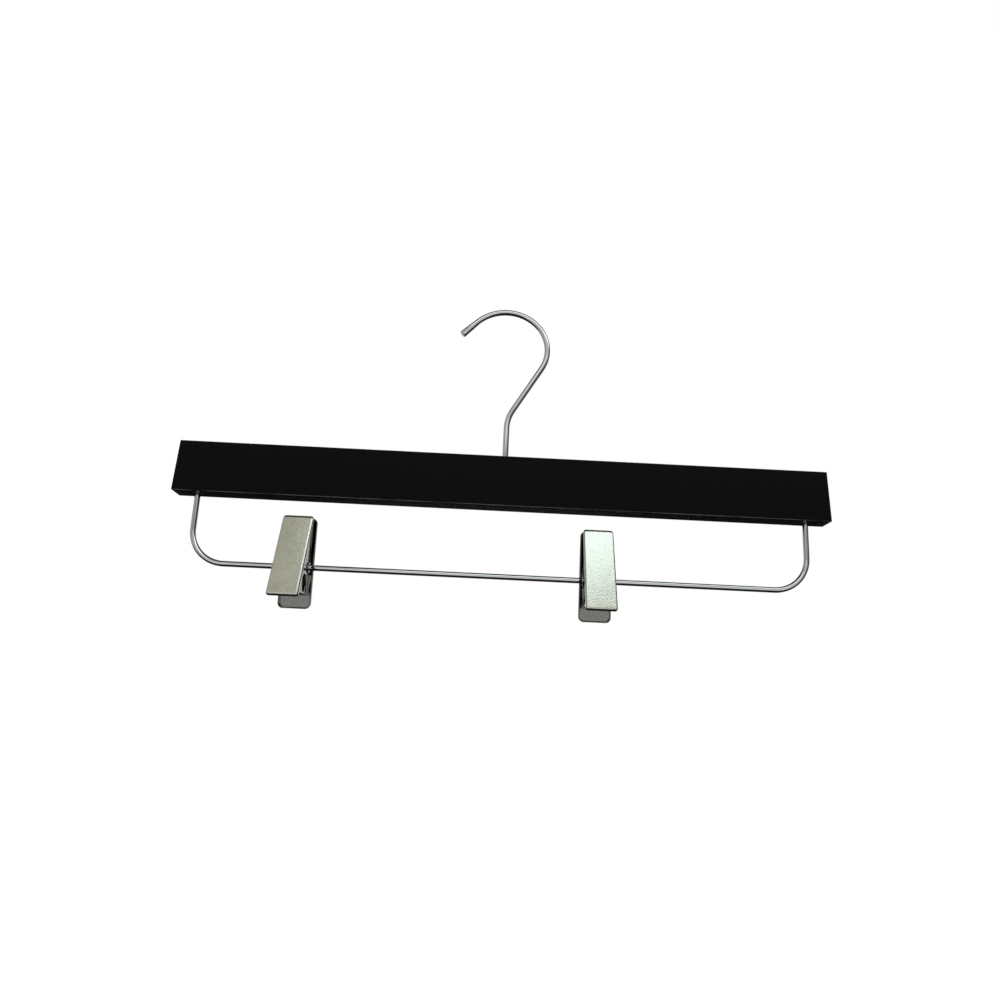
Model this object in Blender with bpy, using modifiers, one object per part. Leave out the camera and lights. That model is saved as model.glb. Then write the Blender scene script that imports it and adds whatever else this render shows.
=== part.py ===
"""Trouser hanger: a lacquered wooden bar on a swivelling wire hook, with a wire bail
below it and two sprung sheet-metal clips that slide along the bail.

Metres, +Z up. X runs along the bar and +Y points away from the front. The origin is the
point of the hook's inside that bears on a rail, straight above the hook's stem.
"""
import math

import bmesh
import bpy
from mathutils import Matrix, Vector

MM = 0.001

# Clearance between two fixed pieces that touch on the real hanger
SEAT_GAP = 0.3 * MM

# Wooden bar
BAR_LENGTH = 380.0 * MM
BAR_HEIGHT = 30.56 * MM
BAR_THICKNESS = 12.0 * MM
BAR_EDGE_ROUND = 0.5 * MM

# Hook: one bent wire that turns in a bush, with a collar pressed on its end
HOOK_WIRE = 3.5 * MM
HOOK_BEND_RADIUS = 26.06 * MM
HOOK_BEND_OFFSET = -2.57 * MM
HOOK_BEND_RISE = 74.08 * MM
HOOK_NECK_LEAN = math.radians(30.0)
HOOK_KNEE_RADIUS = 24.0 * MM
HOOK_TAIL_ANGLE = math.radians(136.0)
HOOK_TAIL_LENGTH = 12.9 * MM
HOOK_TIP_DIAMETER = 4.4 * MM
HOOK_RUNNING_GAP = 0.3 * MM
BUSH_DIAMETER = 7.2 * MM
BUSH_LENGTH = 12.0 * MM
BUSH_SINK = 0.5 * MM
COLLAR_DIAMETER = 5.8 * MM
COLLAR_LENGTH = 2.4 * MM
STEM_STUB = 0.8 * MM
HOOK_HOLE_SPARE = 2.0 * MM

# Bail: one wire bent twice, its legs leaning in, its ends held in blind holes under the bar
BAIL_WIRE = 3.2 * MM
BAIL_INSET = 13.3 * MM
BAIL_DROP = 40.3 * MM
BAIL_STRAIGHT = 1.5 * MM
BAIL_LEAN = math.radians(2.8)
BAIL_BEND_RADIUS = 20.3 * MM
BAIL_GRIP_DEPTH = 12.0 * MM

# Clips: how far each stands in from its own leg of the bail, and the plane of their jaws
LEFT_CLIP_INSET = 61.3 * MM
RIGHT_CLIP_INSET = 122.1 * MM
GRIP_PLANE = 0.4 * MM

# Clip covers: shallow pressed trays with a rim all round
COVER_SHEET = 0.8 * MM
FRONT_COVER_WIDTH = 17.2 * MM
FRONT_LEAN = math.radians(14.7)
FRONT_DISTANCE = 13.5 * MM
FRONT_COVER_HIGH = 26.2 * MM
FRONT_COVER_LOW = 22.8 * MM
FRONT_RIM_HIGH = 1.5 * MM
FRONT_RIM_LOW = 2.4 * MM
FRONT_CORNER = 1.4 * MM
FRONT_BEND = 1.3 * MM
REAR_COVER_WIDTH = 18.5 * MM
REAR_LEAN = math.radians(10.0)
REAR_DISTANCE = 6.74 * MM
REAR_COVER_HIGH = 28.4 * MM
REAR_COVER_LOW = 23.1 * MM
REAR_RIM_HIGH = 1.2 * MM
REAR_RIM_LOW = 3.2 * MM
REAR_CORNER = 3.0 * MM
REAR_BEND = 0.9 * MM

# Clip levers: folded channels inside the covers, each turned in below to end in a jaw
LEVER_SHEET = 0.8 * MM
LEVER_BEND = 1.0 * MM
BEND_POINTS = 5
CHANNEL_OVERCUT = 1.2 * MM
LEVER_SIDE_GAP = 0.3 * MM
EAR_RADIUS = 4.2 * MM
REAR_EAR_END = math.radians(263.0)
FRONT_LEVER_HIGH = 24.8 * MM
FRONT_LEVER_LOW = 19.6 * MM
FRONT_JAW_LOW = 15.0 * MM
FRONT_WALL_TOP = 2.0 * MM
FRONT_SHOULDER = (5.95 * MM, 14.7 * MM)
FRONT_WALL_NECK = (6.2 * MM, -6.6 * MM)
FRONT_WALL_WAIST = (4.8 * MM, -9.4 * MM)
FRONT_WALL_CHEEK = (6.4 * MM, -13.0 * MM)
FRONT_WALL_END = 9.4 * MM
REAR_LEVER_HIGH = 25.7 * MM
REAR_LEVER_LOW = 15.9 * MM
REAR_JAW_LOW = 14.6 * MM
REAR_WALL_TOP = 1.6 * MM
REAR_SHOULDER = (2.05 * MM, 9.0 * MM)
REAR_WALL_NECK = (3.92 * MM, -8.6 * MM)
REAR_WALL_WAIST = (2.25 * MM, -12.2 * MM)
REAR_WALL_END = 3.4 * MM
JAW_HIGH = 10.6 * MM

# Grip pads on the jaws
PAD_SIDE_INSET = 0.25 * MM
PAD_HEIGHT = 3.8 * MM
PAD_THICKNESS = 1.0 * MM
PAD_ROUND = 0.2 * MM
PAD_MEETING_GAP = 0.3 * MM

# Pivot: a tube through all four ears, flared at its ends, that the bail runs through
TUBE_BORE_GAP = 0.3 * MM
TUBE_WALL = 0.4 * MM
TUBE_EAR_GAP = 0.3 * MM
TUBE_FLARE = 0.35 * MM
TUBE_FLARE_THICKNESS = 0.4 * MM

# Torsion spring, wound round the pivot tube
SPRING_WIRE = 0.9 * MM
SPRING_PITCH = 1.36 * MM
SPRING_WHOLE_TURNS = 5
SPRING_POINTS_A_TURN = 10
SPRING_LEG_FRONT = 15.0 * MM
SPRING_LEG_REAR = 14.0 * MM

# Places worked out from the sizes
HOOK_INSIDE_RADIUS = HOOK_BEND_RADIUS - HOOK_WIRE / 2
BAR_TOP = -HOOK_BEND_RISE - math.sqrt(HOOK_INSIDE_RADIUS**2 - HOOK_BEND_OFFSET**2)
BAR_BOTTOM = BAR_TOP - BAR_HEIGHT
BAIL_LEVEL = BAR_BOTTOM - BAIL_DROP
BAIL_SPAN = BAR_LENGTH - 2 * BAIL_INSET
BUSH_TOP = BAR_TOP - BUSH_SINK
COLLAR_TOP = BUSH_TOP - BUSH_LENGTH - SEAT_GAP
STEM_END = COLLAR_TOP - COLLAR_LENGTH - STEM_STUB
FRONT_LEVER_WIDTH = FRONT_COVER_WIDTH - 2 * (COVER_SHEET + LEVER_SIDE_GAP)
REAR_LEVER_WIDTH = FRONT_LEVER_WIDTH - 2 * (LEVER_SHEET + LEVER_SIDE_GAP)
PAD_WIDTH = REAR_LEVER_WIDTH - 2 * PAD_SIDE_INSET
FRONT_LEVER_FACE = FRONT_DISTANCE - COVER_SHEET - SEAT_GAP
REAR_LEVER_FACE = REAR_DISTANCE - COVER_SHEET - SEAT_GAP
PAD_OFFSET = PAD_MEETING_GAP / 2 + PAD_THICKNESS / 2
JAW_OFFSET = PAD_MEETING_GAP / 2 + PAD_THICKNESS + SEAT_GAP + LEVER_SHEET / 2
TUBE_BORE = BAIL_WIRE / 2 + TUBE_BORE_GAP
TUBE_RADIUS = TUBE_BORE + TUBE_WALL
EAR_HOLE = TUBE_RADIUS + TUBE_EAR_GAP
SPRING_RADIUS = TUBE_RADIUS + SEAT_GAP + SPRING_WIRE / 2
SPRING_SEAT = LEVER_SHEET + SEAT_GAP + SPRING_WIRE / 2


def clear_scene():
    """Remove what the scene holds."""
    for thing in list(bpy.data.objects):
        bpy.data.objects.remove(thing, do_unlink=True)


def make_collection(name):
    """A collection of its own in the scene."""
    collection = bpy.data.collections.new(name)
    bpy.context.scene.collection.children.link(collection)
    return collection


def make_material(name, colour, roughness, metallic):
    """A plain Principled material."""
    material = bpy.data.materials.new(name)
    material.use_nodes = True
    shader = material.node_tree.nodes["Principled BSDF"]
    shader.inputs["Base Color"].default_value = (*colour, 1.0)
    shader.inputs["Roughness"].default_value = roughness
    shader.inputs["Metallic"].default_value = metallic
    return material


def add_piece(name, data, material, parent=None, location=(0, 0, 0), rotation=(0, 0, 0)):
    """Put a mesh or a curve in the hanger's collection as a named piece."""
    piece = bpy.data.objects.new(name, data)
    HANGER.objects.link(piece)
    data.materials.clear()
    data.materials.append(material)
    piece.parent = parent
    piece.location = location
    piece.rotation_euler = rotation
    return piece


def add_empty(name, parent=None, location=(0, 0, 0), rotation=(0, 0, 0)):
    """An empty on a joint's axis, which its pieces hang from."""
    empty = bpy.data.objects.new(name, None)
    HANGER.objects.link(empty)
    empty.parent = parent
    empty.location = location
    empty.rotation_euler = rotation
    empty.empty_display_size = 10 * MM
    return empty


def smooth(mesh, angle=40.0):
    """Shade the round faces smooth and keep the real edges sharp."""
    mesh.shade_smooth()
    mesh.set_sharp_from_angle(angle=math.radians(angle))
    return mesh


def wire_curve(name, points, diameter, resolution=3):
    """A round wire through points in space, with closed ends."""
    curve = bpy.data.curves.new(name, "CURVE")
    curve.dimensions = "3D"
    curve.bevel_depth = diameter / 2
    curve.bevel_resolution = resolution
    curve.use_fill_caps = True
    spline = curve.splines.new("POLY")
    spline.points.add(len(points) - 1)
    for target, point in zip(spline.points, points):
        target.co = (*point, 1.0)
    return curve


def plate_mesh(name, outline, thickness):
    """A flat outline in Y and Z, made thick along X and centred on X = 0."""
    curve = bpy.data.curves.new(name, "CURVE")
    curve.dimensions = "2D"
    curve.fill_mode = "BOTH"
    curve.extrude = thickness / 2
    spline = curve.splines.new("POLY")
    spline.points.add(len(outline) - 1)
    for target, (y, z) in zip(spline.points, outline):
        target.co = (y, z, 0.0, 1.0)
    spline.use_cyclic_u = True
    holder = bpy.data.objects.new(name, curve)
    holder.matrix_world = Matrix(((0, 0, 1, 0), (1, 0, 0, 0), (0, 1, 0, 0), (0, 0, 0, 1)))
    bpy.context.scene.collection.objects.link(holder)
    bpy.context.view_layer.update()
    evaluated = holder.evaluated_get(bpy.context.evaluated_depsgraph_get())
    mesh = bpy.data.meshes.new_from_object(evaluated)
    mesh.transform(holder.matrix_world)
    bpy.data.objects.remove(holder)
    bpy.data.curves.remove(curve)
    work = bmesh.new()
    work.from_mesh(mesh)
    bmesh.ops.remove_doubles(work, verts=work.verts, dist=0.001 * MM)
    work.to_mesh(mesh)
    work.free()
    return mesh


def cylinder_mesh(name, radius, length, sides=24):
    """A closed cylinder along Z, centred on the origin."""
    work = bmesh.new()
    bmesh.ops.create_cone(
        work, cap_ends=True, segments=sides, radius1=radius, radius2=radius, depth=length
    )
    mesh = bpy.data.meshes.new(name)
    work.to_mesh(mesh)
    work.free()
    return mesh


def box_mesh(name, size_x, size_y, size_z):
    """A closed box, centred on the origin."""
    work = bmesh.new()
    bmesh.ops.create_cube(work, size=1.0)
    bmesh.ops.scale(work, verts=work.verts, vec=(size_x, size_y, size_z))
    mesh = bpy.data.meshes.new(name)
    work.to_mesh(mesh)
    work.free()
    return mesh


def round_edges(piece, width, segments):
    """Round the sharp edges of a piece with a Bevel modifier."""
    bevel = piece.modifiers.new("edge_round", "BEVEL")
    bevel.width = width
    bevel.segments = segments
    bevel.limit_method = "ANGLE"
    bevel.angle_limit = math.radians(50)


def add_cut(piece, name, mesh, location=(0, 0, 0), rotation=(0, 0, 0)):
    """Cut a mesh out of a piece with a Boolean modifier."""
    cutter = bpy.data.objects.new(name, mesh)
    CUTTERS.objects.link(cutter)
    cutter.hide_render = True
    cutter.display_type = "WIRE"
    cutter.parent = piece
    cutter.location = location
    cutter.rotation_euler = rotation
    cut = piece.modifiers.new(name, "BOOLEAN")
    cut.operation = "DIFFERENCE"
    cut.solver = "EXACT"
    cut.object = cutter


def add_turned(name, profile, material, parent=None, location=(0, 0, 0), rotation=(0, 0, 0)):
    """A turned piece: a closed profile of (radius, height) points with a Screw modifier."""
    count = len(profile)
    mesh = bpy.data.meshes.new(name)
    loop = [(index, (index + 1) % count) for index in range(count)]
    mesh.from_pydata([(radius, 0, height) for radius, height in profile], loop, [])
    piece = add_piece(name, mesh, material, parent, location, rotation)
    screw = piece.modifiers.new("turned", "SCREW")
    screw.steps = 32
    screw.render_steps = 32
    screw.use_merge_vertices = True
    screw.merge_threshold = 0.001 * MM
    screw.use_smooth_shade = True
    return piece


def arc(centre, radius, start, end, count):
    """Points along an arc, both ends included."""
    step = (end - start) / (count - 1)
    angles = [start + step * index for index in range(count)]
    return [(centre[0] + radius * math.cos(a), centre[1] + radius * math.sin(a)) for a in angles]


def bent_path(corners, radius, count=BEND_POINTS):
    """A path through flat corners, with each inner corner turned into an arc."""
    path = [Vector(corners[0])]
    for before, corner, after in zip(corners, corners[1:], corners[2:]):
        corner = Vector(corner)
        towards = (Vector(before) - corner).normalized()
        away = (Vector(after) - corner).normalized()
        half = towards.angle(away) / 2
        reach = radius / math.tan(half)
        centre = corner + (towards + away).normalized() * radius / math.sin(half)
        first = corner + towards * reach - centre
        last = corner + away * reach - centre
        turn = first.angle_signed(last)
        for index in range(count):
            share = index / (count - 1)
            path.append(centre + Matrix.Rotation(-turn * share, 2) @ first)
    path.append(Vector(corners[-1]))
    return path


def sheet_faces(path, thickness):
    """The two faces of a strip of sheet whose middle follows a flat path."""
    left, right = [], []
    for index, point in enumerate(path):
        before = path[max(index - 1, 0)]
        after = path[min(index + 1, len(path) - 1)]
        along = (after - before).normalized()
        across = Vector((-along.y, along.x)) * thickness / 2
        left.append(tuple(point + across))
        right.append(tuple(point - across))
    return left, right


def tangent_angle(point, radius, side):
    """Where the tangent from a point touches a circle round the origin, on one side of it."""
    place = Vector(point)
    return math.atan2(place.y, place.x) + side * math.acos(radius / place.length)


def build_bar():
    """The wooden bar, drilled from above for the hook and from below for the bail."""
    block = smooth(box_mesh("wooden_bar", BAR_LENGTH, BAR_THICKNESS, BAR_HEIGHT))
    middle = (0, 0, (BAR_TOP + BAR_BOTTOM) / 2)
    bar = add_piece("wooden_bar", block, LACQUERED_WOOD, location=middle)
    round_edges(bar, BAR_EDGE_ROUND, 2)
    hook_depth = BAR_TOP - STEM_END + HOOK_HOLE_SPARE
    hook_hole = cylinder_mesh("hook_hole", BUSH_DIAMETER / 2 + SEAT_GAP, 2 * hook_depth, 32)
    add_cut(bar, "hook_hole", hook_hole, (0, 0, BAR_HEIGHT / 2))
    for name, side in (("left_bail_hole", -1), ("right_bail_hole", 1)):
        hole = cylinder_mesh(name, BAIL_WIRE / 2 + SEAT_GAP, 2 * (BAIL_GRIP_DEPTH + SEAT_GAP))
        add_cut(bar, name, hole, (side * BAIL_SPAN / 2, 0, -BAR_HEIGHT / 2))


def hook_path():
    """The hook's middle line in X and Z: stem, knee, leaning neck, round bend and tail."""
    centre = Vector((HOOK_BEND_OFFSET, BAR_TOP + HOOK_BEND_RISE))
    bend = arc(centre, HOOK_BEND_RADIUS, -HOOK_NECK_LEAN, HOOK_TAIL_ANGLE, 30)
    neck_x, neck_z = bend[0]
    knee = (0.0, neck_z - neck_x / math.tan(HOOK_NECK_LEAN))
    lower = bent_path([(0.0, STEM_END), knee, bend[0]], HOOK_KNEE_RADIUS)
    end_x, end_z = bend[-1]
    tail_x = end_x - HOOK_TAIL_LENGTH * math.sin(HOOK_TAIL_ANGLE)
    tail_z = end_z + HOOK_TAIL_LENGTH * math.cos(HOOK_TAIL_ANGLE)
    return [tuple(point) for point in lower[:-1]] + bend + [(tail_x, tail_z)]


def build_hook():
    """The hook wire, the collar on its end and the bush that it turns in."""
    path = [(x, 0, z) for x, z in hook_path()]
    hook = wire_curve("hook_wire", path, HOOK_WIRE)
    hook.splines[0].points[-1].radius = HOOK_TIP_DIAMETER / HOOK_WIRE
    add_piece("hook_wire", hook, CHROMED_WIRE)
    seat = HOOK_WIRE / 2 + SEAT_GAP
    collar_end = COLLAR_TOP - COLLAR_LENGTH
    collar = [
        (COLLAR_DIAMETER / 2, COLLAR_TOP),
        (COLLAR_DIAMETER / 2, collar_end),
        (seat, collar_end),
        (seat, COLLAR_TOP),
    ]
    add_turned("retaining_collar", collar, PLAIN_STEEL)
    bore = HOOK_WIRE / 2 + HOOK_RUNNING_GAP
    bush_end = BUSH_TOP - BUSH_LENGTH
    bush = [
        (BUSH_DIAMETER / 2, BUSH_TOP),
        (BUSH_DIAMETER / 2, bush_end),
        (bore, bush_end),
        (bore, BUSH_TOP),
    ]
    add_turned("hook_bush", bush, BRASS)


def build_bail():
    """The bail: straight out of the bar, leaning in, round the bend, along and up again."""
    half = BAIL_SPAN / 2
    foot = half - (BAIL_DROP - BAIL_STRAIGHT) * math.tan(BAIL_LEAN)
    top = BAR_BOTTOM + BAIL_GRIP_DEPTH
    left = [(-half, top), (-half, BAR_BOTTOM - BAIL_STRAIGHT), (-foot, BAIL_LEVEL)]
    right = [(-x, z) for x, z in reversed(left)]
    path = [(x, 0, z) for x, z in bent_path(left + right, BAIL_BEND_RADIUS, count=13)]
    add_piece("clip_rail", wire_curve("clip_rail", path, BAIL_WIRE), CHROMED_WIRE)


def tray_mesh(name, width, low, high, rim_low, rim_high, corner, bend):
    """A pressed tray: a plate at Y = 0 with a rim towards -Y all round, open at the back."""
    work = bmesh.new()
    bmesh.ops.create_cube(work, size=1.0)
    for vertex in work.verts:
        upper = vertex.co.z > 0
        rim = rim_high if upper else rim_low
        y = 0.0 if vertex.co.y > 0 else -rim
        vertex.co = (vertex.co.x * width, y, high if upper else -low)
    back = [face for face in work.faces if all(v.co.y < 0 for v in face.verts)]
    bmesh.ops.delete(work, geom=back, context="FACES_ONLY")
    corners = [edge for edge in work.edges if sum(v.co.y < 0 for v in edge.verts) == 1]
    bmesh.ops.bevel(work, geom=corners, offset=corner, segments=4, affect="EDGES", profile=0.5)
    bends = [edge for edge in work.edges if all(v.co.y == 0 for v in edge.verts)]
    bmesh.ops.bevel(work, geom=bends, offset=bend, segments=3, affect="EDGES", profile=0.5)
    mesh = bpy.data.meshes.new(name)
    work.to_mesh(mesh)
    work.free()
    return smooth(mesh)


def add_cover(name, mesh, material, half, distance):
    """A pressed cover on one half of a clip, as a sheet of the cover's thickness."""
    cover = add_piece(name, mesh, material, half, (0, distance, 0))
    sheet = cover.modifiers.new("sheet", "SOLIDIFY")
    sheet.thickness = COVER_SHEET
    sheet.offset = -1.0
    sheet.use_even_offset = True


def level_point(offset, height, lean):
    """A point given level with the bar, seen in the frame of a half that leans."""
    return (
        offset * math.cos(lean) + height * math.sin(lean),
        height * math.cos(lean) - offset * math.sin(lean),
    )


def lever_path(face, high, low, lean, grip, jaw_low):
    """The middle of a lever's sheet: down the plate, in along the lip and up the jaw."""
    middle = face - LEVER_SHEET / 2
    foot = LEVER_SHEET / 2
    return bent_path(
        [
            (middle, high),
            (middle, foot - low),
            level_point(grip + JAW_OFFSET, foot - jaw_low, lean),
            level_point(grip + JAW_OFFSET, -JAW_HIGH, lean),
        ],
        LEVER_BEND,
    )


def point_on_lip(face_line, outward):
    """The point of one face of a lever's lip that lies at a given distance outward."""
    (near, near_height), (far, far_height) = face_line[BEND_POINTS : BEND_POINTS + 2]
    share = (near - outward) / (near - far)
    return (outward, near_height + share * (far_height - near_height))


def add_lever(name, half, path, wall_end, lower_wall, upper_wall, width):
    """A channel lever: a plate, a lip and a jaw in one sheet, with an eared wall on each side.

    The walls' inner edge is given from the lip, at wall_end, up to the ear, and from the ear
    to the top. The space between the walls and the holes for the tube are cut out.
    """
    outer_line, inner_line = sheet_faces(path, LEVER_SHEET)
    jaw_line = inner_line[: BEND_POINTS : -1]
    outline = [*outer_line, *jaw_line, point_on_lip(inner_line, wall_end), *lower_wall, *upper_wall]
    lever = add_piece(name, smooth(plate_mesh(name, outline, width)), CHROMED_SHEET, half)

    far_side = -2 * EAR_RADIUS
    above = inner_line[0][1] + CHANNEL_OVERCUT
    lower_edge = [(outward - CHANNEL_OVERCUT, height) for outward, height in lower_wall]
    channel_outline = [
        (inner_line[0][0], above),
        *inner_line[1 : BEND_POINTS + 1],
        point_on_lip(inner_line, wall_end + LEVER_SHEET / 8),
        *lower_edge,
        (far_side, lower_edge[-1][1]),
        (far_side, above),
    ]
    channel = plate_mesh(f"{name}_channel", channel_outline, width - 2 * LEVER_SHEET)
    add_cut(lever, f"{name}_channel", channel)
    hole = cylinder_mesh(f"{name}_ear_hole", EAR_HOLE, 2 * width)
    add_cut(lever, f"{name}_ear_hole", hole, rotation=(0, math.pi / 2, 0))


def add_front_lever(name, half):
    """The front lever, whose walls stand outside those of the rear one."""
    face = FRONT_LEVER_FACE
    path = lever_path(
        face, FRONT_LEVER_HIGH, FRONT_LEVER_LOW, FRONT_LEAN, -GRIP_PLANE, FRONT_JAW_LOW
    )
    shoulder, neck, waist, cheek = (
        (face - depth, height)
        for depth, height in (FRONT_SHOULDER, FRONT_WALL_NECK, FRONT_WALL_WAIST, FRONT_WALL_CHEEK)
    )
    ear_start = tangent_angle(neck, EAR_RADIUS, -1) + 2 * math.pi
    ear_end = tangent_angle(shoulder, EAR_RADIUS, 1)
    ear = arc((0, 0), EAR_RADIUS, ear_start, ear_end, 9)
    lower_wall = [cheek, waist, neck]
    upper_wall = [*ear, shoulder, (face - FRONT_WALL_TOP, FRONT_LEVER_HIGH)]
    wall_end = face - FRONT_WALL_END
    add_lever(name, half, path, wall_end, lower_wall, upper_wall, FRONT_LEVER_WIDTH)


def add_rear_lever(name, half):
    """The rear lever, which fits between the walls of the front one."""
    face = REAR_LEVER_FACE
    path = lever_path(face, REAR_LEVER_HIGH, REAR_LEVER_LOW, REAR_LEAN, GRIP_PLANE, REAR_JAW_LOW)
    shoulder, neck, waist = (
        (face - depth, height)
        for depth, height in (REAR_SHOULDER, REAR_WALL_NECK, REAR_WALL_WAIST)
    )
    ear_end = tangent_angle(shoulder, EAR_RADIUS, 1)
    ear = arc((0, 0), EAR_RADIUS, REAR_EAR_END, ear_end, 9)
    upper_wall = [*ear, shoulder, (face - REAR_WALL_TOP, REAR_LEVER_HIGH)]
    wall_end = face - REAR_WALL_END
    add_lever(name, half, path, wall_end, [waist, neck], upper_wall, REAR_LEVER_WIDTH)


def add_pad(name, half, lean, grip, jaw_low):
    """A flat grip pad on a jaw, level with the bar while the half leans."""
    height = LEVER_BEND - jaw_low + PAD_HEIGHT / 2
    place = level_point(grip + PAD_OFFSET, height, lean)
    mesh = box_mesh(name, PAD_WIDTH, PAD_THICKNESS, PAD_HEIGHT)
    pad = add_piece(name, mesh, BLACK_RUBBER, half, (0, *place), (-lean, 0, 0))
    round_edges(pad, PAD_ROUND, 1)


def add_tube(name, slider):
    """The pivot tube along the bail, with a flare turned over at each end."""
    ear_face = FRONT_LEVER_WIDTH / 2 + SEAT_GAP
    end = ear_face + TUBE_FLARE_THICKNESS
    flare = EAR_HOLE + TUBE_FLARE
    profile = [
        (flare, end),
        (flare, ear_face),
        (TUBE_RADIUS, ear_face),
        (TUBE_RADIUS, -ear_face),
        (flare, -ear_face),
        (flare, -end),
        (TUBE_BORE, -end),
        (TUBE_BORE, end),
    ]
    add_turned(name, profile, CHROMED_SHEET, slider, rotation=(0, math.pi / 2, 0))


def spring_points():
    """The spring's middle line: rear leg, turns round the pivot tube and front leg.

    Each leg ends against its own lever and touches the turns along a tangent.
    """
    rear_outward, rear_up = REAR_LEVER_FACE - SPRING_SEAT, SPRING_LEG_REAR
    front_outward, front_up = FRONT_LEVER_FACE - SPRING_SEAT, SPRING_LEG_FRONT
    rear_end = (
        rear_outward * math.cos(REAR_LEAN) - rear_up * math.sin(REAR_LEAN),
        rear_outward * math.sin(REAR_LEAN) + rear_up * math.cos(REAR_LEAN),
    )
    front_end = (
        front_up * math.sin(FRONT_LEAN) - front_outward * math.cos(FRONT_LEAN),
        front_outward * math.sin(FRONT_LEAN) + front_up * math.cos(FRONT_LEAN),
    )
    start = tangent_angle(rear_end, SPRING_RADIUS, -1)
    end = tangent_angle(front_end, SPRING_RADIUS, 1) - 2 * math.pi * (SPRING_WHOLE_TURNS + 1)
    turns = (start - end) / (2 * math.pi)
    steps = round(turns * SPRING_POINTS_A_TURN)
    length = turns * SPRING_PITCH
    coil = arc((0, 0), SPRING_RADIUS, start, end, steps + 1)
    points = [(length / 2 - length * index / steps, y, z) for index, (y, z) in enumerate(coil)]
    return [(length / 2, *rear_end), *points, (-length / 2, *front_end)]


def spring_clear_gap(points):
    """The least gap between one turn of the spring's wire and the rest of it."""
    places = [Vector(point) for point in points]
    least = math.inf
    for index, place in enumerate(places):
        for other in places[index + SPRING_POINTS_A_TURN // 2 :]:
            least = min(least, (place - other).length)
    return least - SPRING_WIRE


def build_clip(side, place):
    """One clip: its pivot tube and spring, a rear half and a front half."""
    slider = add_empty(f"{side}_clip_axis", location=(place, 0, BAIL_LEVEL))
    rear = add_empty(f"{side}_rear_half", slider, rotation=(REAR_LEAN, 0, 0))
    front = add_empty(f"{side}_front_half", slider, rotation=(FRONT_LEAN, 0, math.pi))

    add_tube(f"{side}_pivot_tube", slider)
    points = spring_points()
    spring = wire_curve(f"{side}_spring", points, SPRING_WIRE, resolution=1)
    add_piece(f"{side}_spring", spring, SPRING_STEEL, slider)
    print(f"{side} spring: least gap to itself {spring_clear_gap(points) / MM:.2f} mm")

    front_tray = tray_mesh(
        f"{side}_front_cover",
        FRONT_COVER_WIDTH,
        FRONT_COVER_LOW,
        FRONT_COVER_HIGH,
        FRONT_RIM_LOW,
        FRONT_RIM_HIGH,
        FRONT_CORNER,
        FRONT_BEND,
    )
    add_cover(f"{side}_front_cover", front_tray, SATIN_SHEET, front, FRONT_DISTANCE)
    add_front_lever(f"{side}_front_lever", front)
    add_pad(f"{side}_front_pad", front, FRONT_LEAN, -GRIP_PLANE, FRONT_JAW_LOW)

    rear_tray = tray_mesh(
        f"{side}_rear_cover",
        REAR_COVER_WIDTH,
        REAR_COVER_LOW,
        REAR_COVER_HIGH,
        REAR_RIM_LOW,
        REAR_RIM_HIGH,
        REAR_CORNER,
        REAR_BEND,
    )
    add_cover(f"{side}_rear_cover", rear_tray, CHROMED_SHEET, rear, REAR_DISTANCE)
    add_rear_lever(f"{side}_rear_lever", rear)
    add_pad(f"{side}_rear_pad", rear, REAR_LEAN, GRIP_PLANE, REAR_JAW_LOW)


clear_scene()
HANGER = make_collection("wooden_hanger")
CUTTERS = make_collection("cutters")
LACQUERED_WOOD = make_material("black_lacquered_wood", (0.006, 0.007, 0.006), 0.22, 0.0)
CHROMED_WIRE = make_material("chromed_wire", (0.62, 0.62, 0.60), 0.12, 1.0)
CHROMED_SHEET = make_material("chromed_sheet", (0.55, 0.55, 0.54), 0.15, 1.0)
SATIN_SHEET = make_material("satin_nickel_sheet", (0.50, 0.49, 0.43), 0.35, 1.0)
PLAIN_STEEL = make_material("plain_steel", (0.40, 0.40, 0.40), 0.40, 1.0)
SPRING_STEEL = make_material("spring_steel", (0.35, 0.35, 0.36), 0.35, 1.0)
BRASS = make_material("brass", (0.60, 0.43, 0.16), 0.35, 1.0)
BLACK_RUBBER = make_material("black_rubber", (0.02, 0.02, 0.02), 0.80, 0.0)

build_bar()
build_hook()
build_bail()
build_clip("left", LEFT_CLIP_INSET - BAIL_SPAN / 2)
build_clip("right", BAIL_SPAN / 2 - RIGHT_CLIP_INSET)
bpy.context.view_layer.update()
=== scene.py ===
"""Looks of the trouser hanger: lacquered bar, bent wires and pressed clips, in a white studio.

Metres, +Z up. X runs along the bar and +Y points away from the front. The origin is the point
of the hook's inside that bears on a rail.
"""
import math

import bmesh
import bpy
import numpy as np
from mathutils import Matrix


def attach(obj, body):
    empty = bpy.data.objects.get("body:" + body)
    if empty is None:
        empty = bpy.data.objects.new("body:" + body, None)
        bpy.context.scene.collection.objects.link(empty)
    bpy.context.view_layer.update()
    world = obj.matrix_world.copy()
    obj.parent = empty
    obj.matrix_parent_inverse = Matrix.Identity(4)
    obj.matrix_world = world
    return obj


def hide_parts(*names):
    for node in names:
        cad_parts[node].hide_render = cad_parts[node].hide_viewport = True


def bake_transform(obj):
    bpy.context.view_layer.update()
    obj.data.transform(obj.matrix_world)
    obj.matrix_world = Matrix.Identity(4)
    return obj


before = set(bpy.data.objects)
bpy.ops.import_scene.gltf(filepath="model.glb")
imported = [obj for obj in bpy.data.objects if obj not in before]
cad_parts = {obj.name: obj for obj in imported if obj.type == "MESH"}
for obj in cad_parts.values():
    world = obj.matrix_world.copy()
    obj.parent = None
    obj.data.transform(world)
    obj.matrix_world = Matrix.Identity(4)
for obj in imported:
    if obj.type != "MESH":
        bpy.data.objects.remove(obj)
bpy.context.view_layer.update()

MM = 0.001

# Points nearer than this are one point
SAME_POINT = 0.0005 * MM
SAME_LEVER_POINT = 0.001 * MM

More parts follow.
